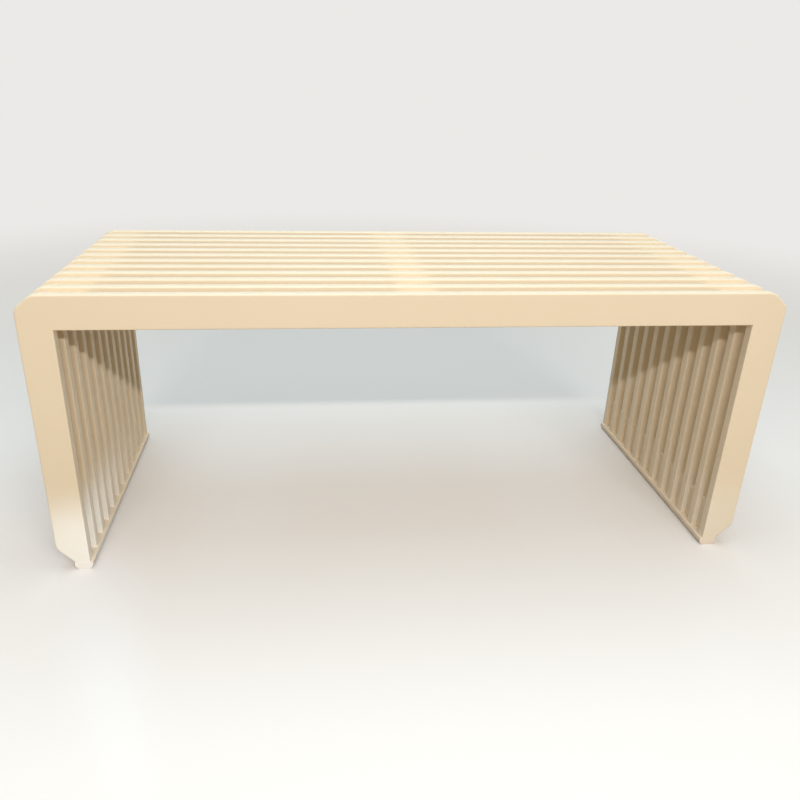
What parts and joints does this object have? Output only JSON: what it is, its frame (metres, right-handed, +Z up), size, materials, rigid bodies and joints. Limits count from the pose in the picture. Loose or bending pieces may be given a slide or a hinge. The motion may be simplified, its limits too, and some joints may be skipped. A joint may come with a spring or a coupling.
{
  "type": "slatted bench",
  "caption": "Backless waterfall bench of equal mitred inverted-U wooden frames set apart by spacer blocks, on two foot runners, lacquered cream; for sitting on.",
  "frame": {"origin": "on the floor under the middle of the bench, at the bottom centre of its box", "axes": "+X along the bench to its right end, +Y from the front to the back, +Z up"},
  "size_m": [1.12, 0.456, 0.45],
  "materials": {
    "frame_lacquer": "cream satin lacquer on wood",
    "spacer_lacquer": "cream satin lacquer on wood",
    "runner_lacquer": "cream satin lacquer on wood",
    "bare_wood": "bare beech, glued in"
  },
  "bodies": {
    "root": {"seat_rail_01": "frame_lacquer", "seat_rail_02": "frame_lacquer", "seat_rail_03": "frame_lacquer", "seat_rail_04": "frame_lacquer", "seat_rail_05": "frame_lacquer", "seat_rail_06": "frame_lacquer", "seat_rail_07": "frame_lacquer", "seat_rail_08": "frame_lacquer", "seat_rail_09": "frame_lacquer", "seat_rail_10": "frame_lacquer", "seat_rail_11": "frame_lacquer", "seat_rail_12": "frame_lacquer", "left_leg_01": "frame_lacquer", "left_leg_02": "frame_lacquer", "left_leg_03": "frame_lacquer", "left_leg_04": "frame_lacquer", "left_leg_05": "frame_lacquer", "left_leg_06": "frame_lacquer", "left_leg_07": "frame_lacquer", "left_leg_08": "frame_lacquer", "left_leg_09": "frame_lacquer", "left_leg_10": "frame_lacquer", "left_leg_11": "frame_lacquer", "left_leg_12": "frame_lacquer", "right_leg_01": "frame_lacquer", "right_leg_02": "frame_lacquer", "right_leg_03": "frame_lacquer", "right_leg_04": "frame_lacquer", "right_leg_05": "frame_lacquer", "right_leg_06": "frame_lacquer", "right_leg_07": "frame_lacquer", "right_leg_08": "frame_lacquer", "right_leg_09": "frame_lacquer", "right_leg_10": "frame_lacquer", "right_leg_11": "frame_lacquer", "right_leg_12": "frame_lacquer", "left_end_spacers": "spacer_lacquer", "middle_spacers": "spacer_lacquer", "right_end_spacers": "spacer_lacquer", "left_foot_spacers": "spacer_lacquer", "right_foot_spacers": "spacer_lacquer", "left_foot_runner": "runner_lacquer", "right_foot_runner": "runner_lacquer", "left_corner_tenons": "bare_wood", "right_corner_tenons": "bare_wood"}
  },
  "joints": []
}
